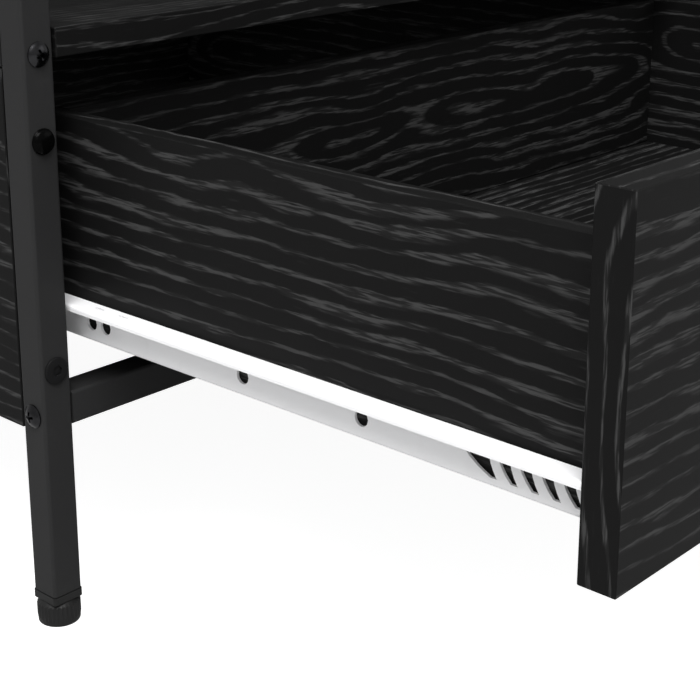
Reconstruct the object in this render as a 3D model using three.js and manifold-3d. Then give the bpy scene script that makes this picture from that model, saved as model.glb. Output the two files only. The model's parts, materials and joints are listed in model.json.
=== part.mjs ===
// Lift top coffee table: black oak boards on a black square tube frame, with a roller slide drawer.
// Millimetres, +Z up, +X to the sitter's right, front towards -Y. The drawer is fully open.
import * as THREE from 'three';
import { mergeVertices } from 'three/addons/utils/BufferGeometryUtils.js';
import ManifoldModule from 'manifold-3d';

const wasm = await ManifoldModule();
wasm.setup();

// ---- Driving dimensions ----

const gap = 0.3; // between pieces that touch on the real table

const tableWidth = 1060;
const tableDepth = 500;
const tableHeight = 470;

// Square steel tube
const tube = 15;
const tubeWall = 1.2;
const tubeCorner = 1.5;
const sideRailHeight = 19;

// Levelling feet
const footRadius = 9.6;
const footHeight = 10.9;
const studRadius = 3;
const studLength = 27;
const studClearance = 0.4;
const collarHeight = 3.5;
const collarOverhang = 0.3;
const plugDepth = 30;

// Boards
const boardEdge = 0.4; // eased edge of every board
const sidePanelBottom = 92;
const sidePanelHeight = 156;
const lowerRailLift = 1; // lower rails sit this far above the side panels' bottom edge
const partitionThickness = 15;
const backPanelThickness = 12;
const cubbyFloorThickness = 12;
const shelfThickness = 12;
const shelfDrop = 3; // shelf top below the side rails' top
const shelfEndGap = 1.5;
const openBayHeight = 90;
const boxFloorThickness = 12;
const topThickness = 15;
const topGap = 1; // bumper gap under the closed top

// Drawer
const drawerFrontThickness = 15;
const drawerFrontSideGap = 1.5;
const drawerFrontGapBelow = 2.6;
const drawerFrontGapAbove = 7.3; // finger gap, the drawer has no handle
const drawerSideThickness = 9;
const drawerBottomThickness = 3;
const drawerSideHeight = 95;
const drawerInnerDepth = 278.3;

// Roller slides
const slideClearance = 12.5; // between the drawer side and what carries the slide
const slideSheet = 1.2;
const slideBend = 0.9;
const drawerSlideLength = 300;
const drawerSlideHeight = 17.9;
const drawerFlangeWidth = 10;
const drawerFlangeLip = 2.8;
const drawerSlideLift = 20.5; // slide's underside above the lower rails
const drawerFootLeg = 16; // leg of the slide that reaches under the drawer
const rollerRadius = 6.5;
const rollerWidth = 6.2;
const axleRadius = 2;
const axleClearance = 0.35;
const axleEnd = 0.8; // of the drawer roller's axle past the roller
const rollerEndMargin = 6.4; // from the drawer slide's rear end to its roller's centre
const rollerStopClearance = 0.78; // between the two rollers of a slide, fully open
const channelSetback = 1.3; // channel's front end behind the closed drawer front
const channelFlangeWidth = 10.3;
const channelTopFlange = 6;
const channelRunningGap = 0.8; // over the drawer slide's flange
const channelFloorGap = 1.3; // drawer slide's underside above the channel's floor
const rollerRunningGap = 0.2;
const rollerSideGap = 0.6;
const webHoleRadius = 3.3;
const webHoles = [101.5, 163.6, 247.0, 256.1]; // from the slide's front end
const webHoleHeight = 8.3;
const finCount = 4; // claw-shaped cuts, with one longer cut behind them
const finStart = 8.2; // front edge of the first cut, from the slide's front end
const finPitch = 8.8;
const finLength = 5;
const lastFinLength = 11.4;
const finFootLength = 3.1;
const finLean = 3.8; // foot of a cut in front of its top
const finFootLift = 3.3; // above the slide's underside
const finTopDrop = 3.6; // below the slide's top
const dimpleSize = [1.2, 5.5];
const dimples = [230.7, 245.8];
const dimpleInset = 4;

// Lifting mechanism, one each side
const liftSwing = 115; // degrees that the arms turn, from closed to raised
const rearPivotMargin = 88; // closed, from the upper rear pivot to the box's rear wall
const armWidth = 20;
const armThickness = 3;
const pivotSpacing = 60;
const frontPivotBack = 100; // front pivot behind the table's front plane
const lowerPivotDrop = 54; // lower pivots below the box's rim
const upperPivotDrop = 14; // upper pivots below the box's rim
const plateThickness = 2;
const plateOffset = 14; // plates stand this far inside the box wall
const plateFoot = 26;
const armPlateGap = 2.5;
const pinRadius = 3.7;
const pinClearance = 0.35;
const pinHeadRadius = 7;
const pinHeadThickness = 1.2;
const crossBarRadius = 7;
const crossBarAlong = 60; // from the lower pivot, along the rear arm
const springPegAlong = 18; // arm's peg, from the lower pivot
const springPegRadius = 2.5;
const springCoilRadius = 4.6;
const springWireRadius = 0.9;
const springTurns = 10;
const springEyeNeck = 7; // straight wire between each eye and the coil
const springFrontPegBack = 25; // front peg behind the table's front plane

// ---- Levels and places worked out from them ----

const halfWidth = tableWidth / 2;
const innerX = halfWidth - tube; // inner faces of legs, side panels and box walls
const legBottom = footHeight + gap + collarHeight + gap;
const lowerRailBottom = sidePanelBottom + lowerRailLift;
const lowerRailTop = lowerRailBottom + tube;
const sideRailBottom = sidePanelBottom + sidePanelHeight + gap;
const sideRailTop = sideRailBottom + sideRailHeight - gap;
const shelfTop = sideRailTop - shelfDrop;
const shelfBottom = shelfTop - shelfThickness;
const boxWallThickness = tube; // flush with the legs, inside and out
const boxBottom = shelfTop + openBayHeight;
const boxTop = tableHeight - topThickness - topGap;
const boxFloorTop = boxBottom + boxFloorThickness;
const backPanelFront = tableDepth - backPanelThickness;

const slideBottom = lowerRailTop + drawerSlideLift;
const slideTop = slideBottom + drawerSlideHeight;
const drawerBottom = slideBottom + slideSheet + gap;
const drawerLeft = -innerX + slideClearance;
const drawerRight = -partitionThickness / 2 - slideClearance;
const drawerBoxFront = drawerFrontThickness + gap;

// The drawer's roller stops against the channel's roller, which sets how far the drawer comes out.
const channelFloor = slideBottom - slideSheet - channelFloorGap;
const channelTop = slideTop + channelRunningGap;
const drawerRollerHeight = channelFloor + rollerRadius + rollerRunningGap;
const channelRollerHeight = slideTop - slideSheet - rollerRadius - rollerRunningGap;
const rollerStopGap = Math.sqrt(
  (2 * rollerRadius + rollerStopClearance) ** 2 - (channelRollerHeight - drawerRollerHeight) ** 2);
const channelStart = drawerFrontThickness + channelSetback;
const channelRollerY = channelStart + rollerRadius;
const openRollerY = channelRollerY + rollerStopGap;
const closedRollerY = drawerBoxFront + drawerSlideLength - rollerEndMargin;
const drawerTravel = closedRollerY - openRollerY;

// ---- Finishes ----

const finish = (color, roughness, metalness) =>
  () => new THREE.MeshStandardMaterial({ color, roughness, metalness });
const blackOak = finish(0x1f1f1f, 0.6, 0);
const drawerInside = finish(0x141414, 0.65, 0);
const blackSteel = finish(0x2a2a2a, 0.5, 0.4);
const whiteSteel = finish(0xf4f4f4, 0.35, 0.2);
const blackPlastic = finish(0x161616, 0.55, 0);
const whitePlastic = finish(0xe4e4e2, 0.5, 0);
const zincSteel = finish(0x8a8c90, 0.35, 0.9);

// ---- Geometry helpers ----

function solid(geometry) {
  const bare = geometry.index ? geometry.toNonIndexed() : geometry.clone();
  bare.deleteAttribute('normal');
  bare.deleteAttribute('uv');
  const merged = mergeVertices(bare, 1e-4);
  return new wasm.Manifold(new wasm.Mesh({
    numProp: 3,
    vertProperties: new Float32Array(merged.attributes.position.array),
    triVerts: new Uint32Array(merged.index.array),
  }));
}

function geometryOf(manifold) {
  const mesh = manifold.getMesh();
  const geometry = new THREE.BufferGeometry();
  geometry.setAttribute('position', new THREE.BufferAttribute(mesh.vertProperties, 3));
  geometry.setIndex(new THREE.BufferAttribute(mesh.triVerts, 1));
  geometry.computeVertexNormals();
  return geometry;
}

function joined(...geometries) {
  return geometryOf(geometries.map(solid).reduce((a, b) => a.add(b)));
}

function cut(geometry, ...cutters) {
  return geometryOf(cutters.map(solid).reduce((a, b) => a.subtract(b), solid(geometry)));
}

// The same piece for the table's other side: x turned round, faces turned back outwards.
function mirrored(geometry) {
  const flipped = mergeVertices(bareCopy(geometry), 1e-4);
  flipped.scale(-1, 1, 1);
  const index = flipped.index.array;
  for (let i = 0; i < index.length; i += 3) {
    [index[i], index[i + 1]] = [index[i + 1], index[i]];
  }
  flipped.computeVertexNormals();
  return flipped;
}

function bareCopy(geometry) {
  const copy = geometry.clone();
  copy.deleteAttribute('normal');
  copy.deleteAttribute('uv');
  return copy;
}

// Rectangle centred on the origin with each corner cut at 45 degrees.
function chamferedRectangle(width, height, chamfer) {
  const x = width / 2;
  const y = height / 2;
  const shape = new THREE.Shape();
  shape.moveTo(x - chamfer, -y);
  shape.lineTo(x, -y + chamfer);
  shape.lineTo(x, y - chamfer);
  shape.lineTo(x - chamfer, y);
  shape.lineTo(-x + chamfer, y);
  shape.lineTo(-x, y - chamfer);
  shape.lineTo(-x, -y + chamfer);
  shape.lineTo(-x + chamfer, -y);
  shape.closePath();
  return shape;
}

function boardGeometry(width, depth, height) {
  const geometry = new THREE.ExtrudeGeometry(chamferedRectangle(width, depth, boardEdge), {
    depth: height - 2 * boardEdge,
    bevelThickness: boardEdge,
    bevelSize: boardEdge,
    bevelOffset: -boardEdge,
    bevelSegments: 1,
  });
  geometry.translate(0, 0, boardEdge - height / 2);
  return geometry;
}

function block([x0, x1], [y0, y1], [z0, z1]) {
  const geometry = new THREE.BoxGeometry(x1 - x0, y1 - y0, z1 - z0);
  geometry.translate((x0 + x1) / 2, (y0 + y1) / 2, (z0 + z1) / 2);
  return geometry;
}

// Closed outline with rounded corners, counter-clockwise, for a shape or a hole in one.
function roundedOutline(path, width, height, radius) {
  const x = width / 2 - radius;
  const y = height / 2 - radius;
  path.moveTo(x + radius, -y);
  path.absarc(x, y, radius, 0, Math.PI / 2, false);
  path.absarc(-x, y, radius, Math.PI / 2, Math.PI, false);
  path.absarc(-x, -y, radius, Math.PI, Math.PI * 1.5, false);
  path.absarc(x, -y, radius, Math.PI * 1.5, Math.PI * 2, false);
  return path;
}

function prism(shape, depth, curveSegments = 3) {
  return new THREE.ExtrudeGeometry(shape, { depth, bevelEnabled: false, curveSegments });
}

function rod(radius, length, segments) {
  return new THREE.CylinderGeometry(radius, radius, length, segments);
}

// A rod whose axis runs along x, from x0 to x1.
function rodAlongX(radius, x0, x1, y, z, segments = 16) {
  const geometry = rod(radius, x1 - x0, segments);
  geometry.rotateZ(Math.PI / 2);
  geometry.translate((x0 + x1) / 2, y, z);
  return geometry;
}

// Hollow tube along z from 0 to length, open at both ends.
function tubeGeometry(width, height, length) {
  const shape = roundedOutline(new THREE.Shape(), width, height, tubeCorner);
  const hole = roundedOutline(
    new THREE.Path(), width - 2 * tubeWall, height - 2 * tubeWall, tubeCorner - tubeWall / 2);
  shape.holes.push(hole);
  return prism(shape, length);
}

// Outline of a sheet bent along a centre line of [x, y] points, with rounded bends.
function bentSheet(points, thickness, bendRadius) {
  const line = [new THREE.Vector2(...points[0])];
  for (let i = 1; i < points.length - 1; i += 1) {
    const corner = new THREE.Vector2(...points[i]);
    const before = new THREE.Vector2(...points[i - 1]).sub(corner).setLength(bendRadius).add(corner);
    const after = new THREE.Vector2(...points[i + 1]).sub(corner).setLength(bendRadius).add(corner);
    line.push(...new THREE.QuadraticBezierCurve(before, corner, after).getPoints(3));
  }
  line.push(new THREE.Vector2(...points.at(-1)));
  const side = (sign) => line.map((point, i) => {
    const previous = line[Math.max(i - 1, 0)];
    const next = line[Math.min(i + 1, line.length - 1)];
    const along = next.clone().sub(previous).normalize();
    return new THREE.Vector2(-along.y, along.x).multiplyScalar(sign * thickness / 2).add(point);
  });
  return new THREE.Shape([...side(1), ...side(-1).reverse()]);
}

// A profile drawn in (x, z) and run along +y from y0.
function alongY(shape, y0, length) {
  const geometry = prism(shape, length);
  geometry.rotateX(Math.PI / 2);
  geometry.translate(0, y0 + length, 0);
  return geometry;
}

// A plate drawn in (y, z) and given its thickness along +x from x0.
function plateAcrossX(shape, x0, thickness, curveSegments = 6) {
  const geometry = prism(shape, thickness, curveSegments);
  geometry.rotateX(Math.PI / 2);
  geometry.rotateZ(Math.PI / 2);
  geometry.translate(x0, 0, 0);
  return geometry;
}

// ---- Scene ----

const table = new THREE.Group();
// Origin under the centre of the table with its drawer open, rear feet included.
table.position.y = -(tableDepth + footRadius - tube / 2 - drawerTravel) / 2;
// Inside the group, y is 0 on the front plane of the legs and grows to the back.

function add(parent, name, geometry, material) {
  const mesh = new THREE.Mesh(geometry, material());
  mesh.name = name;
  parent.add(mesh);
  return mesh;
}

function board(parent, name, [x0, x1], [y0, y1], [z0, z1], material = blackOak) {
  const mesh = add(parent, name, boardGeometry(x1 - x0, y1 - y0, z1 - z0), material);
  mesh.position.set((x0 + x1) / 2, (y0 + y1) / 2, (z0 + z1) / 2);
  return mesh;
}

const sides = [['left', -1], ['right', 1]];
const ends = [['front', tube / 2], ['rear', tableDepth - tube / 2]];

// ---- Steel frame and feet ----

function legGeometry() {
  const length = boxTop - legBottom;
  const outer = prism(roundedOutline(new THREE.Shape(), tube, tube, tubeCorner), length);
  const bore = prism(
    roundedOutline(
      new THREE.Shape(), tube - 2 * tubeWall, tube - 2 * tubeWall, tubeCorner - tubeWall / 2),
    length);
  bore.translate(0, 0, -tubeWall);
  return cut(outer, bore);
}

function footPlugGeometry() {
  const boreRadius = studRadius + studClearance;
  const drilled = (shape) => {
    shape.holes.push(new THREE.Path().absarc(0, 0, boreRadius, 0, Math.PI * 2, true));
    return shape;
  };
  const collarSize = tube + 2 * collarOverhang;
  const shankSize = tube - 2 * tubeWall - 2 * gap;
  const collar = prism(
    drilled(roundedOutline(new THREE.Shape(), collarSize, collarSize, tubeCorner)), collarHeight, 5);
  const shank = prism(
    drilled(roundedOutline(new THREE.Shape(), shankSize, shankSize, tubeCorner)), plugDepth, 5);
  return joined(collar, shank);
}

function footGeometry() {
  const lip = 1;
  const profile = [
    [0, 0],
    [footRadius - lip, 0],
    [footRadius, lip],
    [footRadius, footHeight - lip],
    [footRadius - lip, footHeight],
    [studRadius, footHeight],
    [studRadius, footHeight + studLength],
    [0, footHeight + studLength],
  ].map(([r, z]) => new THREE.Vector2(r, z));
  const geometry = new THREE.LatheGeometry(profile, 24);
  geometry.rotateX(Math.PI / 2);
  return geometry;
}

for (const [sideName, side] of sides) {
  for (const [endName, y] of ends) {
    const corner = new THREE.Group();
    corner.position.set(side * (halfWidth - tube / 2), y, 0);
    table.add(corner);
    const where = `${endName}_${sideName}`;
    add(corner, `leg_${where}`, legGeometry(), blackSteel).position.z = legBottom;
    add(corner, `foot_plug_${where}`, footPlugGeometry(), blackPlastic).position.z = footHeight + gap;
    add(corner, `levelling_foot_${where}`, footGeometry(), blackPlastic);
  }
}

// A tube lying along y between the front and rear legs of one side.
for (const [sideName, side] of sides) {
  const length = tableDepth - 2 * tube - 2 * gap;
  const rail = add(
    table, `side_rail_${sideName}`, tubeGeometry(tube, sideRailHeight - gap, length), blackSteel);
  rail.rotation.x = -Math.PI / 2;
  rail.position.set(
    side * (halfWidth - tube / 2), tube + gap, (sideRailBottom + sideRailTop) / 2);
}

// A tube lying along x between the left and right legs of one end.
for (const [endName, y] of ends) {
  const length = 2 * innerX - 2 * gap;
  const rail = add(table, `lower_rail_${endName}`, tubeGeometry(tube, tube, length), blackSteel);
  rail.rotation.y = Math.PI / 2;
  rail.position.set(-length / 2, y, lowerRailBottom + tube / 2);
}

// ---- Fixed boards ----

const betweenLegs = [tube + gap, tableDepth - tube - gap];
for (const [sideName, side] of sides) {
  const across = [side * halfWidth, side * innerX].sort((a, b) => a - b);
  board(table, `side_panel_${sideName}`, across, betweenLegs,
    [sidePanelBottom, sidePanelBottom + sidePanelHeight]);
  board(table, `box_wall_${sideName}`, across, betweenLegs, [boxBottom, boxTop]);
}

const onLowerRails = [lowerRailTop + gap, shelfBottom - gap];
board(table, 'back_panel', [-innerX + gap, innerX - gap], [backPanelFront, tableDepth], onLowerRails);
board(table, 'partition', [-partitionThickness / 2, partitionThickness / 2],
  [0, backPanelFront - gap], onLowerRails);
board(table, 'cubby_floor', [partitionThickness / 2 + gap, innerX - gap],
  [0, backPanelFront - gap], [lowerRailTop + gap, lowerRailTop + gap + cubbyFloorThickness]);
board(table, 'shelf_board', [-innerX + shelfEndGap, innerX - shelfEndGap], [0, tableDepth],
  [shelfBottom, shelfTop]);

board(table, 'box_wall_front', [-innerX + gap, innerX - gap], [0, boxWallThickness],
  [boxBottom, boxTop]);
board(table, 'box_wall_rear', [-innerX + gap, innerX - gap],
  [tableDepth - boxWallThickness, tableDepth], [boxBottom, boxTop]);
board(table, 'box_floor', [-innerX + gap, innerX - gap],
  [boxWallThickness + gap, tableDepth - boxWallThickness - gap], [boxBottom, boxFloorTop]);

// ---- Drawer, drawn fully open ----

const drawer = new THREE.Group();
drawer.position.y = -drawerTravel;
table.add(drawer);

const drawerBackFront = drawerBoxFront + drawerInnerDepth;
const drawerBoxBack = drawerBackFront + drawerSideThickness;
const drawerSideLevels = [drawerBottom, drawerBottom + drawerSideHeight];

board(drawer, 'drawer_front',
  [-innerX + drawerFrontSideGap, -partitionThickness / 2 - drawerFrontSideGap],
  [0, drawerFrontThickness],
  [lowerRailTop + drawerFrontGapBelow, shelfBottom - drawerFrontGapAbove]);
board(drawer, 'drawer_side_left', [drawerLeft, drawerLeft + drawerSideThickness],
  [drawerBoxFront, drawerBoxBack], drawerSideLevels);
board(drawer, 'drawer_side_right', [drawerRight - drawerSideThickness, drawerRight],
  [drawerBoxFront, drawerBoxBack], drawerSideLevels);
const insideDrawer = [
  drawerLeft + drawerSideThickness + gap,
  drawerRight - drawerSideThickness - gap,
];
board(drawer, 'drawer_back', insideDrawer, [drawerBackFront, drawerBoxBack],
  [drawerBottom + drawerBottomThickness + gap, drawerBottom + drawerSideHeight], drawerInside);
board(drawer, 'drawer_bottom', insideDrawer, [drawerBoxFront, drawerBoxBack],
  [drawerBottom, drawerBottom + drawerBottomThickness], drawerInside);

// ---- Roller slides ----
// Drawn for the left side of the drawer, with x counted inwards from the face that carries them.

const webOuter = slideClearance - gap - slideSheet;
const flangeOuter = slideClearance - gap - drawerFlangeWidth;
const rollerX = [webOuter - rollerSideGap - rollerWidth, webOuter - rollerSideGap];

// Outline in (y, z) of one claw-shaped cut, leaning towards the slide's front at its foot.
function finOutline(front, length) {
  const foot = slideBottom + finFootLift;
  const top = slideTop - finTopDrop;
  const middle = (foot + top) / 2;
  const back = front + length;
  const shape = new THREE.Shape();
  shape.moveTo(front, top);
  shape.quadraticCurveTo(front, middle, front - finLean, foot);
  shape.lineTo(front - finLean + finFootLength, foot);
  shape.quadraticCurveTo(back, middle, back, top);
  shape.closePath();
  return shape;
}

function drawerSlideGeometry() {
  const mid = slideSheet / 2;
  const profile = bentSheet([
    [flangeOuter + mid, slideTop - drawerFlangeLip],
    [flangeOuter + mid, slideTop - mid],
    [webOuter + mid, slideTop - mid],
    [webOuter + mid, slideBottom + mid],
    [webOuter + drawerFootLeg, slideBottom + mid],
  ], slideSheet, slideBend);
  const start = drawerBoxFront;
  const sheet = alongY(profile, start, drawerSlideLength);
  const through = [webOuter - slideSheet, webOuter + 2 * slideSheet];
  const cutters = webHoles.map((along) => rodAlongX(
    webHoleRadius, ...through, start + along, slideBottom + webHoleHeight, 12));
  for (let i = 0; i <= finCount; i += 1) {
    const outline = finOutline(
      start + finStart + i * finPitch, i < finCount ? finLength : lastFinLength);
    cutters.push(plateAcrossX(outline, through[0], through[1] - through[0], 4));
  }
  const [dimpleWidth, dimpleLength] = dimpleSize;
  for (const along of dimples) {
    cutters.push(block(
      [webOuter - dimpleInset, webOuter - dimpleInset + dimpleWidth],
      [start + along - dimpleLength / 2, start + along + dimpleLength / 2],
      [slideTop - 2 * slideSheet, slideTop + slideSheet]));
  }
  const axle = rodAlongX(
    axleRadius, rollerX[0] - axleEnd, webOuter + mid,
    closedRollerY, drawerRollerHeight);
  return joined(cut(sheet, ...cutters), axle);
}

const channelLength = closedRollerY + rollerRadius - channelStart;

function channelGeometry() {
  const mid = slideSheet / 2;
  const profile = bentSheet([
    [channelTopFlange, channelTop + mid],
    [gap + mid, channelTop + mid],
    [gap + mid, channelFloor - mid],
    [channelFlangeWidth, channelFloor - mid],
  ], slideSheet, slideBend);
  const axle = rodAlongX(
    axleRadius, gap + mid, rollerX[1] + gap, channelRollerY, channelRollerHeight);
  return joined(alongY(profile, channelStart, channelLength), axle);
}

function rollerGeometry() {
  const bore = axleRadius + axleClearance;
  const rim = 0.5;
  const half = rollerWidth / 2;
  const profile = [
    [bore, -half],
    [rollerRadius - rim, -half],
    [rollerRadius, -half + rim],
    [rollerRadius, half - rim],
    [rollerRadius - rim, half],
    [bore, half],
    [bore, -half],
  ].map(([r, z]) => new THREE.Vector2(r, z));
  const geometry = new THREE.LatheGeometry(profile, 16);
  geometry.rotateZ(Math.PI / 2);
  return geometry;
}

// Each side of the drawer: the face that carries the channel, and which way is inwards.
const slideSides = [['left', -innerX, 1], ['right', -partitionThickness / 2, -1]];
for (const [sideName, face, inwards] of slideSides) {
  const handed = (geometry) => (inwards > 0 ? geometry : mirrored(geometry));
  const rollerMiddle = (rollerX[0] + rollerX[1]) / 2;
  add(drawer, `drawer_slide_${sideName}`, handed(drawerSlideGeometry()), whiteSteel)
    .position.x = face;
  add(table, `cabinet_slide_${sideName}`, handed(channelGeometry()), whiteSteel)
    .position.x = face;
  add(drawer, `drawer_roller_${sideName}`, rollerGeometry(), whitePlastic).position.set(
    face + inwards * rollerMiddle, closedRollerY, drawerRollerHeight);
  add(table, `cabinet_roller_${sideName}`, rollerGeometry(), whitePlastic).position.set(
    face + inwards * rollerMiddle, channelRollerY, channelRollerHeight);
}

// ---- Lifting top and its parallelogram mechanism ----

board(table, 'lift_top', [-halfWidth, halfWidth], [0, tableDepth],
  [tableHeight - topThickness, tableHeight]);

const lowerPivotZ = boxTop - lowerPivotDrop;
const upperPivotZ = boxTop - upperPivotDrop;
const armReach = tableDepth - boxWallThickness - rearPivotMargin - pivotSpacing - frontPivotBack;
const armRise = upperPivotZ - lowerPivotZ;
const armLength = Math.hypot(armReach, armRise);
const restAngle = Math.atan2(armRise, armReach);
const upperPivotBack = frontPivotBack + armReach;

// The arm's spring peg passes straight above its pivot at mid swing, so the spring stays level.
const halfSwing = THREE.MathUtils.degToRad(liftSwing / 2);
const pegLead = Math.PI / 2 - halfSwing - restAngle;
const springPegZ = lowerPivotZ + springPegAlong * Math.cos(halfSwing);
const springPegBack = frontPivotBack + pivotSpacing + springPegAlong * Math.sin(halfSwing);

// Sheet positions, counted inwards from the box wall.
const frontArmX = plateOffset - armPlateGap - armThickness;
const rearArmX = plateOffset + plateThickness + armPlateGap;

function roundedPlate(y0, y1, z0, z1, radius) {
  const shape = roundedOutline(new THREE.Shape(), y1 - y0, z1 - z0, radius);
  const geometry = plateAcrossX(shape, plateOffset, plateThickness, 4);
  geometry.translate(0, (y0 + y1) / 2, (z0 + z1) / 2);
  return geometry;
}

function pinHole(y, z) {
  return rodAlongX(pinRadius + pinClearance, 0, 2 * plateOffset, y, z);
}

function basePlateGeometry() {
  const front = springFrontPegBack - springPegRadius - 3;
  const back = frontPivotBack + pivotSpacing + 15;
  const floor = boxFloorTop + gap;
  const plate = roundedPlate(front, back, floor, lowerPivotZ + 15, 3);
  const foot = block([plateOffset, plateOffset + plateFoot], [front + 3, back - 3],
    [floor, floor + plateThickness]);
  const peg = rodAlongX(springPegRadius, plateOffset + 1, springX + springCoilRadius,
    springFrontPegBack, springPegZ, 12);
  return cut(
    joined(plate, foot, peg),
    pinHole(frontPivotBack, lowerPivotZ),
    pinHole(frontPivotBack + pivotSpacing, lowerPivotZ));
}

function topBracketGeometry() {
  const front = upperPivotBack - 15;
  const back = upperPivotBack + pivotSpacing + 15;
  const under = tableHeight - topThickness - gap;
  const plate = roundedPlate(front, back, upperPivotZ - 11, under, 3);
  const foot = block([plateOffset, plateOffset + plateFoot], [front + 3, back - 3],
    [under - plateThickness, under]);
  return cut(
    joined(plate, foot),
    pinHole(upperPivotBack, upperPivotZ),
    pinHole(upperPivotBack + pivotSpacing, upperPivotZ));
}

// A flat arm from its lower pivot at (y, z) = (0, 0), lying back at the rest angle.
function armGeometry(x0) {
  const half = armWidth / 2;
  const shape = new THREE.Shape();
  shape.absarc(0, 0, half, Math.PI / 2, Math.PI * 1.5, false);
  shape.absarc(armLength, 0, half, -Math.PI / 2, Math.PI / 2, false);
  const flat = plateAcrossX(shape, x0, armThickness, 8);
  const holes = [0, armLength].map(
    (along) => rodAlongX(pinRadius + pinClearance, x0 - 1, x0 + armThickness + 1, along, 0));
  return cut(flat, ...holes);
}

const springX = rearArmX + armThickness + 1.4 + pinHeadThickness + springCoilRadius;

function rearArmGeometry() {
  const peg = rodAlongX(springPegRadius, rearArmX + armThickness / 2, springX + springCoilRadius,
    springPegAlong * Math.cos(pegLead), springPegAlong * Math.sin(pegLead), 12);
  return joined(armGeometry(rearArmX), peg);
}

// A headed pin along x, through everything between x0 and x1.
function pinGeometry(x0, x1) {
  const profile = [
    [0, x0 - pinHeadThickness],
    [pinHeadRadius, x0 - pinHeadThickness],
    [pinHeadRadius, x0],
    [pinRadius, x0],
    [pinRadius, x1],
    [pinHeadRadius, x1],
    [pinHeadRadius, x1 + pinHeadThickness],
    [0, x1 + pinHeadThickness],
  ].map(([r, x]) => new THREE.Vector2(r, x));
  const geometry = new THREE.LatheGeometry(profile, 16);
  geometry.rotateZ(-Math.PI / 2);
  return geometry;
}

const frontPinX = [frontArmX - gap, plateOffset + plateThickness + gap];
const rearPinX = [plateOffset - gap, rearArmX + armThickness + gap];

// Extension spring along y between two pegs that cross it, hooked over both; y runs from one to the other.
function springGeometry(length) {
  const hook = springPegRadius + springWireRadius + 0.5;
  const coilStart = hook + springEyeNeck;
  const coilLength = length - 2 * coilStart;
  const eye = (centre, angles) => angles.map((degrees) => {
    const angle = THREE.MathUtils.degToRad(degrees);
    return new THREE.Vector3(0, centre + hook * Math.cos(angle), hook * Math.sin(angle));
  });
  const coil = [];
  const pointsPerTurn = 8;
  const count = springTurns * pointsPerTurn;
  for (let i = 0; i <= count; i += 1) {
    const angle = i * 2 * Math.PI / pointsPerTurn;
    coil.push(new THREE.Vector3(
      springCoilRadius * Math.sin(angle),
      coilStart + coilLength * i / count,
      -springCoilRadius * Math.cos(angle)));
  }
  const path = new THREE.CatmullRomCurve3([
    ...eye(0, [50, 115, 180, 245, 305]),
    ...coil,
    ...eye(length, [235, 295, 360, 425, 490]),
  ]);
  const wire = new THREE.Shape().absarc(0, 0, springWireRadius, 0, Math.PI * 2, false);
  return new THREE.ExtrudeGeometry(wire, {
    steps: count + 12,
    extrudePath: path,
    curveSegments: 3,
  });
}

const pivots = [
  ['lower_front', frontPivotBack, lowerPivotZ, frontPinX],
  ['lower_rear', frontPivotBack + pivotSpacing, lowerPivotZ, rearPinX],
  ['upper_front', upperPivotBack, upperPivotZ, frontPinX],
  ['upper_rear', upperPivotBack + pivotSpacing, upperPivotZ, rearPinX],
];

for (const [sideName, side] of sides) {
  const handed = (geometry) => (side < 0 ? geometry : mirrored(geometry));
  const mechanism = new THREE.Group();
  mechanism.position.x = side * innerX;
  table.add(mechanism);
  add(mechanism, `lift_base_plate_${sideName}`, handed(basePlateGeometry()), blackSteel);
  add(mechanism, `lift_top_bracket_${sideName}`, handed(topBracketGeometry()), blackSteel);
  const arms = [
    ['front', frontPivotBack, armGeometry(frontArmX)],
    ['rear', frontPivotBack + pivotSpacing, rearArmGeometry()],
  ];
  for (const [armName, pivotY, geometry] of arms) {
    const arm = add(mechanism, `lift_arm_${armName}_${sideName}`, handed(geometry), blackSteel);
    arm.position.set(0, pivotY, lowerPivotZ);
    arm.rotation.x = restAngle;
  }
  for (const [pinName, y, z, across] of pivots) {
    add(mechanism, `pivot_pin_${pinName}_${sideName}`, handed(pinGeometry(...across)), zincSteel)
      .position.set(0, y, z);
  }
  const spring = springGeometry(springPegBack - springFrontPegBack);
  add(mechanism, `lift_spring_${sideName}`, handed(spring), zincSteel)
    .position.set(-side * springX, springFrontPegBack, springPegZ);
}

const crossBarEnd = innerX - rearArmX - armThickness - gap;
add(table, 'lift_cross_bar', rodAlongX(crossBarRadius, -crossBarEnd, crossBarEnd, 0, 0), blackSteel)
  .position.set(
    0,
    frontPivotBack + pivotSpacing + crossBarAlong * Math.cos(restAngle),
    lowerPivotZ + crossBarAlong * Math.sin(restAngle));

export default table;
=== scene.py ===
"""Coffee table with a lifting top: the looks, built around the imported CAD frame, in metres."""

import json
import math

import bmesh
import bpy
from mathutils import Matrix, Vector


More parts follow.
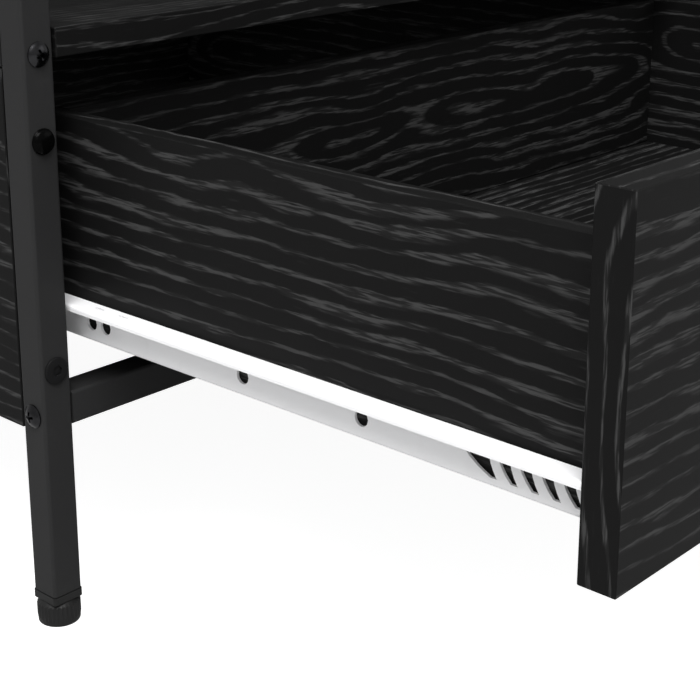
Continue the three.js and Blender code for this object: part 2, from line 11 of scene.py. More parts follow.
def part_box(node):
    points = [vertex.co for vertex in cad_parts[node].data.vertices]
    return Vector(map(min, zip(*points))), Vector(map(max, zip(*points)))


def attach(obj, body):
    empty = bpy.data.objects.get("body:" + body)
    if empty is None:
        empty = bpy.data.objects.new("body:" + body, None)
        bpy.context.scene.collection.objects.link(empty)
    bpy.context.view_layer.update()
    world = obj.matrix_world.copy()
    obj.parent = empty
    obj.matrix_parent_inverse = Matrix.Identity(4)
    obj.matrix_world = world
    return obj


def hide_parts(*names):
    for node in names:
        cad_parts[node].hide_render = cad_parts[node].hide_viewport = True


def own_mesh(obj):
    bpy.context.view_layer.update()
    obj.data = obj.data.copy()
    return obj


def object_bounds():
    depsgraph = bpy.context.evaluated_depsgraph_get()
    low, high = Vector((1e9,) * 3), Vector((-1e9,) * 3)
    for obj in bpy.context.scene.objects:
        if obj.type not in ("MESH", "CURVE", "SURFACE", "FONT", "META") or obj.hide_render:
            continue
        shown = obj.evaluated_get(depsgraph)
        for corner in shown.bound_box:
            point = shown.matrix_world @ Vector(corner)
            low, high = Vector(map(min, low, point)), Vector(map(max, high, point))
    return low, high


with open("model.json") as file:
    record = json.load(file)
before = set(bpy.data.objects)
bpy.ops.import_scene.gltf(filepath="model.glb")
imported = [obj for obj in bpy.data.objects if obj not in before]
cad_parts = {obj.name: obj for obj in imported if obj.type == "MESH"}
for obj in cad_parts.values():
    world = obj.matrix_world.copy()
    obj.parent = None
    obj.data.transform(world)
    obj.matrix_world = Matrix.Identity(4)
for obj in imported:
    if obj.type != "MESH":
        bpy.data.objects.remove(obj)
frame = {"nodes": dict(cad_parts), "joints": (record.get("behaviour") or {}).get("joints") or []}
cad_low, cad_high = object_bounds()

MM = 0.001
X, Y, Z = Vector((1, 0, 0)), Vector((0, 1, 0)), Vector((0, 0, 1))
SIDES = {"left": -1, "right": 1}
ENDS = {"front": -1, "rear": 1}

# ---- Shader expressions ----


class Flow:
    """A shader socket: arithmetic written on it adds Math nodes to its finish."""

    def __init__(self, finish, socket):
        self.finish = finish
        self.socket = socket

    def __add__(self, other):
        return self.finish.math("ADD", self, other)

    __radd__ = __add__

    def __sub__(self, other):
        return self.finish.math("SUBTRACT", self, other)

    def __rsub__(self, other):
        return self.finish.math("SUBTRACT", other, self)

    def __mul__(self, other):
        return self.finish.math("MULTIPLY", self, other)

    __rmul__ = __mul__

    def __truediv__(self, other):
        return self.finish.math("DIVIDE", self, other)

    def __pow__(self, other):
        return self.finish.math("POWER", self, other)

    def __abs__(self):
        return self.finish.math("ABSOLUTE", self)

    def __gt__(self, other):
        return self.finish.math("GREATER_THAN", self, other)


class Finish:
    """A material being made. Its constants go straight onto the shader's own sockets."""

    def __init__(self, name, **constants):
        self.material = bpy.data.materials.new(name)
        self.material.use_nodes = True
        self.tree = self.material.node_tree
        self.shader = self.tree.nodes["Principled BSDF"]
        for socket, value in constants.items():
            self.shader.inputs[socket.replace("_", " ")].default_value = value

    def node(self, kind, settings=None, sockets=None, out=0):
        """Adds any node: its settings first, then the values or links of its sockets."""
        made = self.tree.nodes.new("ShaderNode" + kind)
        for name, value in (settings or {}).items():
            setattr(made, name, value)
        for name, value in (sockets or {}).items():
            if isinstance(value, Flow):
                self.tree.links.new(value.socket, made.inputs[name])
            else:
                made.inputs[name].default_value = value
        return Flow(self, made.outputs[out])

    def math(self, operation, a, b=0.0):
        return self.node("Math", {"operation": operation}, {0: a, 1: b})

    def blend(self, share, low, high):
        """The colour low where share is 0, high where it is 1."""
        return self.node("Mix", {"data_type": "RGBA"}, {0: share, 6: low, 7: high}, 2)

    def step(self, value, low, high):
        """0 below low, 1 above high, and smooth between them."""
        sockets = {"Value": value, "From Min": low, "From Max": high}
        return self.node("MapRange", {"interpolation_type": "SMOOTHSTEP"}, sockets)

    def place(self):
        """The point on the piece, and its parts along x, y and z."""
        point = self.node("TexCoord", out="Object")
        return point, [self.node("SeparateXYZ", sockets={0: point}, out=axis) for axis in "XYZ"]

    def point(self, x, y, z):
        return self.node("CombineXYZ", sockets={0: x, 1: y, 2: z})

    def noise(self, point, size, detail=2.0, roughness=0.5):
        """Soft random values about 0.5, in patches of that size in metres."""
        sockets = {"Vector": point, "Scale": 1 / size, "Detail": detail, "Roughness": roughness}
        return self.node("TexNoise", sockets=sockets)

    def bump(self, height, depth, strength=1.0):
        sockets = {"Height": height, "Distance": depth, "Strength": strength}
        return self.node("Bump", sockets=sockets)

    def wears(self, **flows):
        """Feeds what varies over the surface into the shader, and gives the finished material."""
        for socket, flow in flows.items():
            self.tree.links.new(flow.socket, self.shader.inputs[socket.replace("_", " ")])
        return self.material


# ---- Finishes ----

OAK_DARK = (0.0042, 0.0042, 0.0042, 1)
OAK_HAZE = (0.0064, 0.0064, 0.0064, 1)
OAK_PORE = (0.043, 0.043, 0.043, 1)
RING_TILT = 0.075
EDGE_HEART = 31 * MM
DRIFT_HEIGHT = 60 * MM
DRIFT_SIDEWAYS = 12 * MM
RIPPLE_REACH = 4.4 * MM
SPLIT_REACH = 3.4 * MM
PORE_DEPTH = 0.10 * MM
FACE_LIMIT = 0.6


def black_oak(name, grain, thin, heart, spacing, seed):
    """Black oak foil, with its grain along one axis and its growth rings' heart off the board's middle."""
    low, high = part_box(name)
    middle = (low + high) / 2
    wide = next(axis for axis in range(3) if axis not in (grain, thin))
    foil = Finish("black_oak_" + name, Specular_IOR_Level=0.07)
    _, parts = foil.place()
    facing = foil.node("TexCoord", out="Normal")
    normals = [foil.node("SeparateXYZ", sockets={0: facing}, out=axis) for axis in "XYZ"]
    end = abs(normals[grain]) > FACE_LIMIT
    edge = abs(normals[wide]) > FACE_LIMIT
    on_edge = end + edge
    along = parts[grain] * (1 - end) + parts[wide] * end
    on_face = parts[wide] - (middle[wide] + heart)
    across = on_face * (1 - on_edge) + (parts[thin] - (middle[thin] - EDGE_HEART)) * on_edge

    # Growth rings round a heart that runs nearly along the board, cut by the face into arches.
    slow = foil.noise(foil.point(along, across * 1.8, seed * 3.1), 0.12, 1.0)
    ripple = foil.noise(foil.point(along, across * 2.0, seed * 5.7), 0.040, 2.0, 0.55)
    jitter = foil.noise(foil.point(along * 0.11, across, seed * 0.7), 0.0016, 2.0, 0.6)
    height = (along - middle[grain]) * RING_TILT + (slow - 0.5) * DRIFT_HEIGHT
    waver = (ripple - 0.5) * RIPPLE_REACH * (1 - 0.7 * on_edge)
    sideways = across + waver + (slow - 0.5) * DRIFT_SIDEWAYS + (jitter - 0.5) * SPLIT_REACH
    radius = (height * height + sideways * sideways) ** 0.5
    ring = foil.math("FRACT", radius / spacing)

    # Each ring's open pores are a light band of braided fibres, wide in some patches and thin in others.
    patch = foil.noise(foil.point(along * 0.35, across * 1.6, seed), 0.028, 2.0)
    width = 0.28 + 0.52 * foil.step(patch, 0.42, 0.70) * (1 - 0.8 * on_edge)
    band = foil.step(ring, 0.0, 0.10) * (1 - foil.step(ring / width, 0.55, 1.0))
    fibre = foil.noise(foil.point(along * 0.08, across, seed * 1.9), 0.0012, 2.0, 0.6)
    braid = foil.step(fibre, 0.42, 0.60)
    strength = 0.45 + 0.55 * foil.step(patch, 0.30, 0.52)
    haze = foil.noise(foil.point(along, across, seed), 0.16, 3.0)
    fleck = foil.step(fibre, 0.66, 0.76) * 0.10
    pores = foil.math("MINIMUM", band * strength * (0.14 + 0.86 * braid) + fleck, 1.0)
    colour = foil.blend(pores, foil.blend(haze, OAK_DARK, OAK_HAZE), OAK_PORE)
    roughness = 0.52 + 0.12 * pores + 0.10 * (haze - 0.5)
    grooves = foil.bump(pores + 0.2 * fibre, PORE_DEPTH, 0.5)
    return foil.wears(Base_Color=colour, Roughness=roughness, Normal=grooves)


def powder_coat(name, colour, dust, gloss, specular, peel_depth):
    """Baked powder coat: a fine orange peel, cloudy gloss, and a few rubbed spots."""
    coat = Finish(name, Specular_IOR_Level=specular)
    point, _ = coat.place()
    peel = coat.noise(point, 0.0009, 2.0, 0.55)
    sand = coat.noise(point, 0.00028, 1.0)
    cloud = coat.noise(point, 0.045, 3.0)
    rub = coat.step(coat.noise(point, 0.012, 4.0, 0.65), 0.60, 0.74)
    tint = coat.blend(0.35 * rub + 0.4 * coat.step(sand, 0.55, 0.75), colour, dust)
    roughness = gloss + 0.14 * (cloud - 0.5) + 0.10 * (peel - 0.5) + 0.08 * rub
    skin = coat.bump(peel + 0.4 * sand, peel_depth, 0.6)
    return coat.wears(Base_Color=tint, Roughness=roughness, Normal=skin)


GRAIN_DEPTH = 0.05 * MM
DRAWN_DEPTH = 0.02 * MM


def moulded_plastic(name, colour, bright, gloss, specular=0.35):
    """Injection moulded plastic: a fine spark-eroded grain and faint flow clouds."""
    plastic = Finish(name, Specular_IOR_Level=specular)
    point, _ = plastic.place()
    grain = plastic.noise(point, 0.0005, 2.0, 0.6)
    cloud = plastic.noise(point, 0.02, 3.0)
    tone = plastic.blend(0.5 * cloud + 0.3 * grain, colour, bright)
    roughness = gloss + 0.12 * (grain - 0.5) + 0.08 * (cloud - 0.5)
    skin = plastic.bump(grain, GRAIN_DEPTH, 0.6)
    return plastic.wears(Base_Color=tone, Roughness=roughness, Normal=skin)


def plated_metal(name, colour, dull, gloss):
    """Plated steel: fine drawing marks, dull patches and small dark specks."""
    metal = Finish(name, Metallic=1.0)
    point, (x, y, z) = metal.place()
    drawn = metal.noise(metal.point(x * 0.12, y, z), 0.0004, 2.0, 0.6)
    patch = metal.noise(point, 0.006, 3.0, 0.6)
    speck = metal.step(metal.noise(point, 0.0011, 2.0), 0.68, 0.78)
    tone = metal.blend(0.55 * metal.step(patch, 0.40, 0.72) + 0.45 * speck, colour, dull)
    roughness = gloss + 0.16 * (patch - 0.5) + 0.14 * (drawn - 0.5) + 0.2 * speck
    skin = metal.bump(drawn, DRAWN_DEPTH, 0.5)
    return metal.wears(Base_Color=tone, Roughness=roughness, Normal=skin)


BLACK_STEEL = powder_coat(
    "black_powder_coat", (0.0205, 0.0205, 0.0208, 1), (0.028, 0.028, 0.0285, 1), 0.48, 0.09, 0.00006)
BLACK_OXIDE = powder_coat(
    "black_oxide", (0.0075, 0.0075, 0.0078, 1), (0.014, 0.014, 0.0145, 1), 0.42, 0.07, 0.00002)
WHITE_STEEL = powder_coat(
    "white_powder_coat", (0.80, 0.80, 0.81, 1), (0.73, 0.73, 0.73, 1), 0.36, 0.3, 0.00003)
BLACK_PLASTIC = moulded_plastic(
    "black_plastic", (0.0075, 0.0075, 0.0075, 1), (0.013, 0.013, 0.013, 1), 0.48, 0.2)
WHITE_PLASTIC = moulded_plastic("white_plastic", (0.70, 0.70, 0.68, 1), (0.80, 0.80, 0.78, 1), 0.42)
RUBBER = moulded_plastic("grey_rubber", (0.10, 0.10, 0.10, 1), (0.15, 0.15, 0.15, 1), 0.75, 0.2)
ZINC = plated_metal("zinc_plate", (0.60, 0.61, 0.63, 1), (0.40, 0.41, 0.42, 1), 0.32)
BLACK_ZINC = plated_metal("black_zinc", (0.036, 0.036, 0.038, 1), (0.014, 0.014, 0.015, 1), 0.24)
BLACK_GLOSS = moulded_plastic(
    "black_gloss", (0.0010, 0.0010, 0.0010, 1), (0.0018, 0.0018, 0.0018, 1), 0.12, 0.03)

# ---- Finishes on the CAD pieces ----

# Board: grain axis, thin axis (0 x, 1 y, 2 z), heart's distance off the middle and ring spacing, both in mm.
BOARDS = {
    "side_panel_left": (1, 0, 62, 7.0),
    "side_panel_right": (1, 0, -48, 7.4),
    "back_panel": (0, 1, 30, 8.2),
    "partition": (1, 0, -38, 8.2),
    "cubby_floor": (0, 2, 120, 6.6),
    "shelf_board": (0, 2, 330, 5.6),
    "box_wall_front": (0, 1, 18, 8.2),
    "box_wall_rear": (0, 1, -26, 8.2),
    "box_wall_left": (1, 0, 34, 8.2),
    "box_wall_right": (1, 0, -22, 8.2),
    "box_floor": (0, 2, 90, 8.2),
    "lift_top": (0, 2, 40, 8.2),
    "drawer_front": (0, 1, 96, 8.2),
    "drawer_side_left": (1, 0, 58, 8.2),
    "drawer_side_right": (1, 0, 20, 8.2),
    "drawer_back": (0, 1, 4, 8.2),
    "drawer_bottom": (0, 2, -60, 8.2),
}

STEEL_PARTS = ["leg", "side_rail", "lower_rail", "lift_base_plate", "lift_top_bracket", "lift_arm"]


def paint(node, material):
    data = frame["nodes"][node].data
    data.materials.clear()
    data.materials.append(material)


def finish_cad_pieces():
    for index, (board, (grain, thin, heart, spacing)) in enumerate(BOARDS.items()):
        paint(board, black_oak(board, grain, thin, heart * MM, spacing * MM, 1.0 + index))
    for node in frame["nodes"]:
        if node.startswith(tuple(part + "_" for part in STEEL_PARTS)):
            paint(node, BLACK_STEEL)
        if node.startswith(("drawer_slide", "cabinet_slide")):
            paint(node, WHITE_STEEL)
        if node.startswith("foot_plug"):
            paint(node, BLACK_PLASTIC)


# ---- Making pieces ----

SMOOTH_ANGLE = math.radians(35)


def mesh_from(name, bm, material):
    bmesh.ops.remove_doubles(bm, verts=bm.verts, dist=1e-7)
    bmesh.ops.recalc_face_normals(bm, faces=bm.faces)
    data = bpy.data.meshes.new(name)
    bm.to_mesh(data)
    bm.free()
    data.shade_smooth()
    data.set_sharp_from_angle(angle=SMOOTH_ANGLE)
    data.materials.append(material)
    return data


def piece(name, data, body, place=Matrix.Identity(4), stands_for=()):
    """Puts a mesh in the scene as one named piece that rides on a body."""
    made = bpy.data.objects.new(name, data)
    bpy.context.scene.collection.objects.link(made)
    made.matrix_world = place
    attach(made, body)
    if stands_for:
        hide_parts(*stands_for)
    return made


def turned(profile, segments, ripple=None):
    """A bmesh turned about z from (radius, z) points. ripple(angle, z, radius) may reshape the radius."""
    bm = bmesh.new()
    rings = []
    for radius, z in profile:
        ring = []
        for step in range(segments):
            angle = step * math.tau / segments
            reach = ripple(angle, z, radius) if ripple else radius
            ring.append(bm.verts.new((reach * math.cos(angle), reach * math.sin(angle), z)))
        rings.append(ring)
    for lower, upper in zip(rings, rings[1:]):
        for step in range(segments):
            after = (step + 1) % segments
            bm.faces.new((lower[step], lower[after], upper[after], upper[step]))
    if profile[0] != profile[-1]:
        bm.faces.new(rings[0][::-1])
        bm.faces.new(rings[-1])
    return bm


def arc(centre, radius, start, end, steps):
    """(radius, z) points on an arc, with its angles in degrees from the outward direction."""
    points = []
    for step in range(steps + 1):
        angle = math.radians(start + (end - start) * step / steps)
        points.append((centre[0] + radius * math.cos(angle), centre[1] + radius * math.sin(angle)))
    return points


def swept(path, radius, sides):
    """A round wire along a list of points, with capped ends."""
    bm = bmesh.new()
    rings = []
    across = None
    for index, point in enumerate(path):
        ahead = (path[min(index + 1, len(path) - 1)] - path[max(index - 1, 0)]).normalized()
        if across is None:
            across = ahead.orthogonal()
        across = (across - ahead * across.dot(ahead)).normalized()
        other = ahead.cross(across)
        turns = [step * math.tau / sides for step in range(sides)]
        rings.append([
            bm.verts.new(point + radius * (math.cos(turn) * across + math.sin(turn) * other))
            for turn in turns])
    for back, front in zip(rings, rings[1:]):
        for step in range(sides):
            after = (step + 1) % sides
            bm.faces.new((back[step], back[after], front[after], front[step]))
    bm.faces.new(rings[0][::-1])
    bm.faces.new(rings[-1])
    return bm


def cut_out(data, cutter):
    """data with a bmesh cut out of it."""
    body = bpy.data.objects.new("cut_body", data)
    tool_data = bpy.data.meshes.new("cut_tool")
    bmesh.ops.recalc_face_normals(cutter, faces=cutter.faces)
    cutter.to_mesh(tool_data)
    cutter.free()
    tool = bpy.data.objects.new("cut_tool", tool_data)
    for made in (body, tool):
        bpy.context.scene.collection.objects.link(made)
    modifier = body.modifiers.new("cut", "BOOLEAN")
    modifier.object = tool
    modifier.operation = "DIFFERENCE"
    modifier.solver = "EXACT"
    depsgraph = bpy.context.evaluated_depsgraph_get()
    result = bpy.data.meshes.new_from_object(body.evaluated_get(depsgraph))
    for made in (body, tool):
        bpy.data.objects.remove(made)
    result.shade_smooth()
    result.set_sharp_from_angle(angle=SMOOTH_ANGLE)
    return result


def facing(point, outward):
    """A place whose z points outward from a surface at point."""
    turn = outward.to_track_quat("Z", "Y").to_matrix().to_4x4()
    return Matrix.Translation(point) @ turn


# ---- Screws and bolts ----

HEAD_SEGMENTS = 48


def wedge_cutter(length, width, top, bottom, taper):
    """One wing of a driver recess: wide at the top, narrower and shorter at the bottom."""
    bm = bmesh.new()
    corners = []
    for z, shrink in ((top, 1.0), (bottom, taper)):
        half_length, half_width = length / 2 * shrink, width / 2 * (0.5 + shrink / 2)
        corners.append([
            bm.verts.new((along * half_length, across * half_width, z))
            for along, across in ((-1, -1), (1, -1), (1, 1), (-1, 1))])
    bm.faces.new(corners[0])
    bm.faces.new(corners[1][::-1])
    for step in range(4):
        after = (step + 1) % 4
        bm.faces.new((corners[0][step], corners[1][step], corners[1][after], corners[0][after]))
    return bm


def pan_head(name, radius, height, material):
    """A domed screw head with a cross recess."""
    rim = 0.28 * height
    sphere = ((height - rim) ** 2 + (radius - 0.3 * MM) ** 2) / (2 * (height - rim))
    sweep = math.degrees(math.asin((radius - 0.3 * MM) / sphere))
    dome = arc((0, height - sphere), sphere, 90 - sweep, 89.5, 12)
    bm = turned([(radius, 0.02 * MM), (radius, rim * 0.7)] + dome, HEAD_SEGMENTS)
    data = mesh_from(name, bm, material)
    for turn in (0, 90):
        wing = wedge_cutter(1.12 * radius, 0.24 * radius, height + 0.3 * MM, 0.30 * height, 0.45)
        wing.transform(Matrix.Rotation(math.radians(turn), 4, "Z"))
        data = cut_out(data, wing)
    return data


def socket_head(name, radius, height, socket, material):
    """A flat bolt head with an eased rim and a hexagon socket."""
    ease = 0.35 * MM
    profile = [(radius, 0.02 * MM)] + arc((radius - ease, height - ease), ease, 0, 90, 5)
    bm = turned(profile + [(radius * 0.62, height)], HEAD_SEGMENTS)
    data = mesh_from(name, bm, material)
    hexagon = turned([(socket, 0.15 * height), (socket, height + 0.4 * MM)], 6)
    return cut_out(data, hexagon)


def dome_head(name, radius, height, material):
    """A plain polished dome with a thin skirt."""
    skirt = 0.45 * MM
    profile = [(radius, 0.02 * MM), (radius, skirt)]
    for step in range(1, 15):
        angle = math.radians(89.0 * step / 14)
        profile.append((radius * 0.965 * math.cos(angle), skirt + (height - skirt) * math.sin(angle)))
    return mesh_from(name, turned(profile, HEAD_SEGMENTS), material)


LEG_SCREW = pan_head("leg_screw_head", 5.2 * MM, 2.6 * MM, BLACK_ZINC)
PANEL_BOLT = dome_head("panel_bolt_head", 5.5 * MM, 3.0 * MM, BLACK_GLOSS)
RAIL_BOLT = socket_head("rail_bolt_head", 5.9 * MM, 1.0 * MM, 2.5 * MM, BLACK_OXIDE)
LIFT_SCREW = pan_head("lift_screw_head", 4.0 * MM, 2.1 * MM, ZINC)

SHELF_SCREW_DROP = 9.5 * MM
PANEL_BOLT_DROP = 45.1 * MM
RAIL_BOLT_RISE = 11.9 * MM
SIDE_SCREW_RISE = 6.3 * MM
SCREW_TURN = math.radians(24)


def fasten_legs():
    """Three fasteners on the outward face of each leg, and one on its side."""
    shelf_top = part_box("shelf_board")[1].z
    rail_low, rail_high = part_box("lower_rail_front")
    heights = [
        ("shelf_screw", LEG_SCREW, shelf_top - SHELF_SCREW_DROP, "black_steel"),
        ("panel_bolt", PANEL_BOLT, shelf_top - PANEL_BOLT_DROP, "black_plastic"),
        ("rail_bolt", RAIL_BOLT, rail_high.z + RAIL_BOLT_RISE, "black_steel"),
    ]
    turn = SCREW_TURN
    for end, outward in ENDS.items():
        for side, across in SIDES.items():
            corner = end + "_" + side
            low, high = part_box("leg_" + corner)
            middle = (low + high) / 2
            face_y = low.y if outward < 0 else high.y
            face_x = low.x if across < 0 else high.x
            for name, head, z, slot in heights:
                place = facing(Vector((middle.x, face_y, z)), Y * outward)
                piece(f"{name}_{corner}", head, "frame", place @ Matrix.Rotation(turn, 4, "Z"))
                turn += SCREW_TURN
            place = facing(Vector((face_x, middle.y, rail_low.z + SIDE_SCREW_RISE)), X * across)
            place = place @ Matrix.Rotation(turn, 4, "Z")
            piece(f"side_screw_{corner}", LEG_SCREW, "frame", place)


# ---- Levelling feet ----

KNURLS = 30
THREAD_PITCH = 1.0 * MM
THREAD_DEPTH = 0.42 * MM
STUD_RADIUS = 3.0 * MM
FOOT_PAD_TOP = 2.4 * MM
FOOT_SHOULDER = 9.6 * MM
FOOT_DISC_TOP = 10.9 * MM


def make_levelling_feet():
    """A knurled foot on a threaded stud, for each CAD foot."""
    for end in ENDS:
        for side in SIDES:
            node = f"levelling_foot_{end}_{side}"
            low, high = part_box(node)
            radius = (high.x - low.x) / 2
            top = high.z - low.z
            stud, disc, pad, shoulder = STUD_RADIUS, FOOT_DISC_TOP, FOOT_PAD_TOP, FOOT_SHOULDER

            def ripple(angle, z, reach):
                if pad < z < shoulder and reach > 0.8 * radius:
                    return reach * (1 - 0.055 * (0.5 - 0.5 * math.cos(KNURLS * angle)) ** 0.6)
                if z > disc + 0.5 * MM:
                    wave = (z / THREAD_PITCH - angle / math.tau) % 1.0
                    return reach - THREAD_DEPTH * abs(2 * wave - 1)
                return reach

            profile = [(radius * 0.60, 0), (radius * 0.86, 0)]
            profile += arc((radius * 0.88, 0.9 * MM), 0.9 * MM, -80, 0, 5)
            profile += [(radius * 0.965, pad), (radius, pad + 0.4 * MM), (radius, shoulder - 0.4 * MM)]
            profile += [(radius * 0.95, shoulder), (radius * 0.80, disc)]
            profile += [(stud, disc), (stud, disc + 0.4 * MM)]
            rows = round((top - disc) / (THREAD_PITCH / 6))
            for row in range(1, rows + 1):
                profile.append((stud, disc + 0.4 * MM + (top - disc - 0.8 * MM) * row / rows))
            profile.append((stud - THREAD_DEPTH, top))
            bm = turned(profile, KNURLS * 4, ripple)
            data = mesh_from("screw_foot", bm, BLACK_PLASTIC)
            place = Matrix.Translation(((low.x + high.x) / 2, (low.y + high.y) / 2, low.z))
            piece(f"screw_foot_{end}_{side}", data, node, place, [node])


# ---- Rollers ----


ROLLER_BORE = 2.35 * MM
ROLLER_HUB = 3.5 * MM
ROLLER_EASE = 0.6 * MM
ROLLER_RELIEF = 0.5 * MM


def make_rollers():
    """Rounded rollers with a raised hub and a relieved web, for each CAD roller."""
    for kind in ("drawer_roller", "cabinet_roller"):
        for side in SIDES:
            node = f"{kind}_{side}"
            low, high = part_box(node)
            middle = (low + high) / 2
            width = high.x - low.x
            rim = (high.z - low.z) / 2
            half = width / 2
            bore, hub, ease, relief = ROLLER_BORE, ROLLER_HUB, ROLLER_EASE, ROLLER_RELIEF
            outer = arc((rim - ease, half - ease), ease, 0, 90, 6)
            inner = [(rim - 1.4 * MM, half), (rim - 1.6 * MM, half - relief), (hub, half - relief),
                     (hub - 0.2 * MM, half), (bore, half)]
            crown = outer + inner
            profile = [(r, -z) for r, z in reversed(crown)] + crown
            profile.append(profile[0])
            data = mesh_from("roller", turned(profile, 64), WHITE_PLASTIC)
            place = Matrix.Translation(middle) @ Matrix.Rotation(math.radians(90), 4, "Y")
            name = f"slide_wheel_{kind.split('_')[0]}_{side}"
            piece(name, data, node, place, [node])


# ---- Lift mechanism ----

PIN_SHANK = 3.7 * MM
RIVET_HEAD = 1.2 * MM


def rivet_mesh(width, radius):
    """A riveted pin along z: a turned head at each end, slightly domed, with a set mark."""
    half = width / 2
    head = [
        (PIN_SHANK, half - RIVET_HEAD),
        (radius, half - RIVET_HEAD),
        (radius, half - 0.75 * MM),
        (radius * 0.93, half - 0.45 * MM),
        (radius * 0.62, half - 0.12 * MM),
        (radius * 0.36, half),
        (radius * 0.28, half - 0.35 * MM),
        (radius * 0.05, half - 0.40 * MM),
    ]
    profile = [(r, -z) for r, z in reversed(head)] + head
    return mesh_from("pivot_rivet", turned(profile, HEAD_SEGMENTS), ZINC)


def make_pins():
    for level, body in (("lower", "frame"), ("upper", "lifting_top")):
        for end in ENDS:
            for side in SIDES:
                node = f"pivot_pin_{level}_{end}_{side}"
                low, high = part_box(node)
                data = rivet_mesh(high.x - low.x, (high.z - low.z) / 2)
                turn = Matrix.Rotation(math.radians(90), 4, "Y")
                place = Matrix.Translation((low + high) / 2) @ turn
                piece(f"pivot_rivet_{level}_{end}_{side}", data, body, place, [node])


def make_cross_bar():
    low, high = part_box("lift_cross_bar")
    half = (high.x - low.x) / 2
    radius = (high.z - low.z) / 2
    ease = 0.8 * MM
    profile = [(radius * 0.7, -half), (radius - ease, -half), (radius, ease - half)]
    profile += [(radius, half - ease), (radius - ease, half), (radius * 0.7, half)]
    data = mesh_from("cross_bar", turned(profile, HEAD_SEGMENTS), BLACK_STEEL)
    place = Matrix.Translation((low + high) / 2) @ Matrix.Rotation(math.radians(90), 4, "Y")
    piece("arm_cross_bar", data, "rear_arms", place, ["lift_cross_bar"])


SPRING_TURNS = 38
POINTS_PER_TURN = 14
WIRE_RADIUS = 0.9 * MM
EYE_RADIUS = 4.2 * MM
EYE_NECK = 7.0 * MM
COIL_RADIUS = 4.6 * MM
FRONT_PEG_AHEAD = 135 * MM
ARM_PEG_REACH = 18 * MM


def spring_path(start, end):
    """An extension spring's centreline from one peg to the other, with an eye round each."""
    along = (end - start).normalized()
    up = X.cross(along)
    length = (end - start).length
    points = []

    def eye(centre, first, last):
        for step in range(15):
            angle = math.radians(first + (last - first) * step / 14)
            points.append(centre + EYE_RADIUS * (math.cos(angle) * along + math.sin(angle) * up))

    coil_start = EYE_RADIUS + EYE_NECK
    coil_length = length - 2 * coil_start
    eye(start, 50, 310)
    count = SPRING_TURNS * POINTS_PER_TURN
    for step in range(count + 1):
        angle = step * math.tau / POINTS_PER_TURN
        grow = min(1.0, step / POINTS_PER_TURN, (count - step) / POINTS_PER_TURN)
        reach = COIL_RADIUS * (0.45 + 0.55 * grow)
        along_coil = coil_start + coil_length * step / count
        points.append(start + along * along_coil + reach * (math.sin(angle) * X - math.cos(angle) * up))
    eye(end, 230, 490)
    return points


def make_springs():
    """Assist springs, which shorten towards their front pegs as the top lifts.

    A squash is a straight line and the arm's peg moves on an arc, so a spring meets its peg only at the
    two ends of the swing. In between its rear eye is up to 8.3 mm below the peg.
    """
    joints = {joint["name"]: joint for joint in frame["joints"]}
    pivot = Vector(joints["lift_swing"]["pos_m"])
    half_swing = math.radians(joints["lift_swing"]["range_deg"][1]) / 2
    rise = ARM_PEG_REACH * math.cos(half_swing)
    lead = ARM_PEG_REACH * math.sin(half_swing)
    for side in SIDES:
        low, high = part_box(f"lift_spring_{side}")
        across = (low.x + high.x) / 2
        front = Vector((across, pivot.y - FRONT_PEG_AHEAD, pivot.z + rise))
        rear = Vector((across, pivot.y + lead, front.z))
        data = mesh_from("assist_spring", swept(spring_path(front, rear), WIRE_RADIUS, 8), ZINC)
        made = piece(f"assist_spring_{side}", data, "frame", stands_for=[
            f"lift_spring_{side}"])
        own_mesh(made)


PLATE_SCREW_INSET = 31 * MM
BRACKET_SCREW_INSET = 9 * MM
LIFT_FOOT_THICKNESS = 2 * MM
LIFT_SCREW_MARGIN = 16 * MM


def fasten_lift():
    """Screws through the feet of the lift's base plates and top brackets."""
    for side, across in SIDES.items():
        for node, body, upwards, count in (
                ("lift_base_plate", "frame", 1, 3), ("lift_top_bracket", "lifting_top", -1, 2)):
            low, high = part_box(f"{node}_{side}")
            z = low.z + LIFT_FOOT_THICKNESS if upwards > 0 else high.z - LIFT_FOOT_THICKNESS
            if node == "lift_base_plate":
                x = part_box(f"box_wall_{side}")[1 if across < 0 else 0].x - across * PLATE_SCREW_INSET
            else:
                x = (high.x if across < 0 else low.x) + across * BRACKET_SCREW_INSET
            for index in range(count):
                span = high.y - low.y - 2 * LIFT_SCREW_MARGIN
                y = low.y + LIFT_SCREW_MARGIN + span * index / (count - 1)
                place = facing(Vector((x, y, z)), Z * upwards)
                place = place @ Matrix.Rotation(SCREW_TURN * (index + 1) * (2 + across), 4, "Z")
                name = f"{'plate' if upwards > 0 else 'bracket'}_screw_{index + 1}_{side}"
                piece(name, LIFT_SCREW, body, place)


BUMPER_RADIUS = 4.5 * MM
BUMPER_EASE = 0.35 * MM
BUMPER_FROM_END = 30 * MM


def add_bumpers():
    """A soft button on each corner of the box, for the top to close on."""
    left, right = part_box("box_wall_left"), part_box("box_wall_right")
    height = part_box("lift_top")[0].z - left[1].z - 0.1 * MM
    radius, ease = BUMPER_RADIUS, BUMPER_EASE
    profile = [(radius, 0.01 * MM)] + arc((radius - ease, height - ease), ease, 0, 90, 5)
    data = mesh_from("bumper", turned(profile + [(radius * 0.5, height)], HEAD_SEGMENTS), RUBBER)
    for side, (low, high) in (("left", left), ("right", right)):
        for end, y in (("front", low.y + BUMPER_FROM_END), ("rear", high.y - BUMPER_FROM_END)):
            place = Matrix.Translation(((low.x + high.x) / 2, y, high.z))
            piece(f"bumper_{end}_{side}", data, "frame", place)


# ---- Stage, light and camera ----


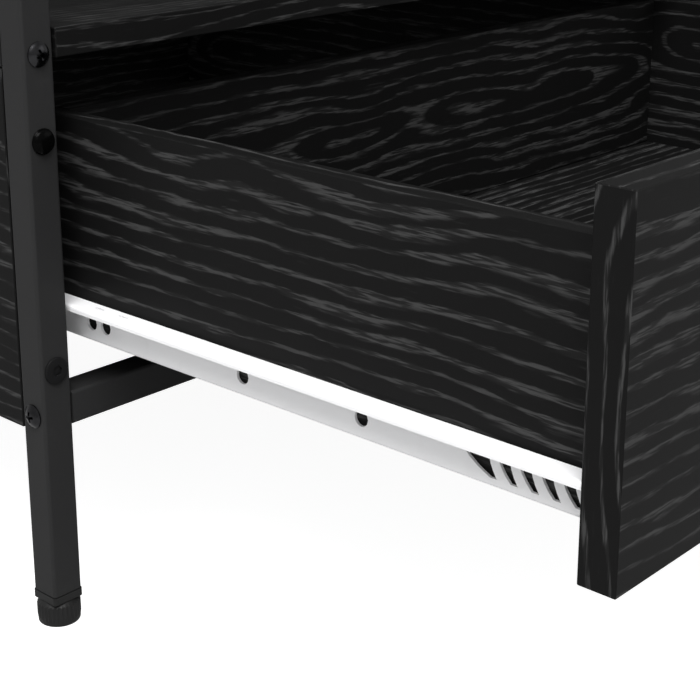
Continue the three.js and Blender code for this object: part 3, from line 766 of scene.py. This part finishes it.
def make_stage():
    bm = bmesh.new()
    bmesh.ops.create_grid(bm, x_segments=4, y_segments=4, size=9.0)
    paper = Finish("studio_paper", Specular_IOR_Level=0.1, Emission_Strength=1.0)
    point, _ = paper.place()
    cloud = paper.noise(point, 1.2, 2.0)
    fibre = paper.noise(point, 0.002, 2.0)
    colour = paper.blend(cloud, (0.46, 0.46, 0.46, 1), (0.49, 0.49, 0.49, 1))
    # The paper looks overexposed, yet sends little light up under the table.
    seen = paper.node("LightPath", out="Is Camera Ray")
    glow = paper.blend(seen, (0, 0, 0, 1), (0.93, 0.93, 0.93, 1))
    material = paper.wears(Base_Color=colour, Roughness=0.85 + 0.1 * fibre, Emission_Color=glow)
    floor = bpy.data.objects.new("studio_floor", mesh_from("studio_floor", bm, material))
    floor.location.z = cad_low.z - 0.2 * MM
    bpy.context.scene.collection.objects.link(floor)


def area_light(name, place, target, size, power):
    data = bpy.data.lights.new(name, "AREA")
    data.shape = "RECTANGLE"
    data.size, data.size_y = size
    data.energy = power
    lamp = bpy.data.objects.new(name, data)
    lamp.location = place
    lamp.rotation_euler = (Vector(target) - Vector(place)).to_track_quat("-Z", "Y").to_euler()
    bpy.context.scene.collection.objects.link(lamp)


WORLD_STRENGTH = 0.55


def make_lights():
    world = bpy.data.worlds.new("studio")
    world.use_nodes = True
    background = world.node_tree.nodes["Background"]
    background.inputs["Color"].default_value = (1, 1, 1, 1)
    background.inputs["Strength"].default_value = WORLD_STRENGTH
    bpy.context.scene.world = world
    bpy.context.scene.view_settings.view_transform = "Standard"
    middle = (cad_low + cad_high) / 2
    area_light("key", (-2.2, -1.6, 2.0), middle, (1.6, 1.6), 10)
    area_light("fill", (1.8, -2.4, 1.6), middle, (2.0, 1.4), 9)
    area_light("top", (-1.5, -1.0, 2.7), middle, (2.0, 1.6), 120)


CAMERA_LEFT_OF_LEG = 0.370
CAMERA_AHEAD_OF_LEG = 0.512
CAMERA_HEIGHT = 0.361
CAMERA_HEADING = math.radians(47.67)
CAMERA_TILT = math.radians(16.58)
CAMERA_LENS = 81.1
CAMERA_SHIFT = -0.15


def make_camera():
    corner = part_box("leg_front_left")[0]
    data = bpy.data.cameras.new("camera")
    data.lens = CAMERA_LENS
    data.shift_y = CAMERA_SHIFT
    camera = bpy.data.objects.new("camera", data)
    camera.location = (corner.x - CAMERA_LEFT_OF_LEG, corner.y - CAMERA_AHEAD_OF_LEG, CAMERA_HEIGHT)
    camera.rotation_euler = (math.radians(90) - CAMERA_TILT, 0, -CAMERA_HEADING)
    bpy.context.scene.collection.objects.link(camera)
    bpy.context.scene.camera = camera


make_camera()
make_lights()
make_stage()
finish_cad_pieces()
fasten_legs()
make_levelling_feet()
make_rollers()
make_pins()
make_cross_bar()
make_springs()
fasten_lift()
add_bumpers()
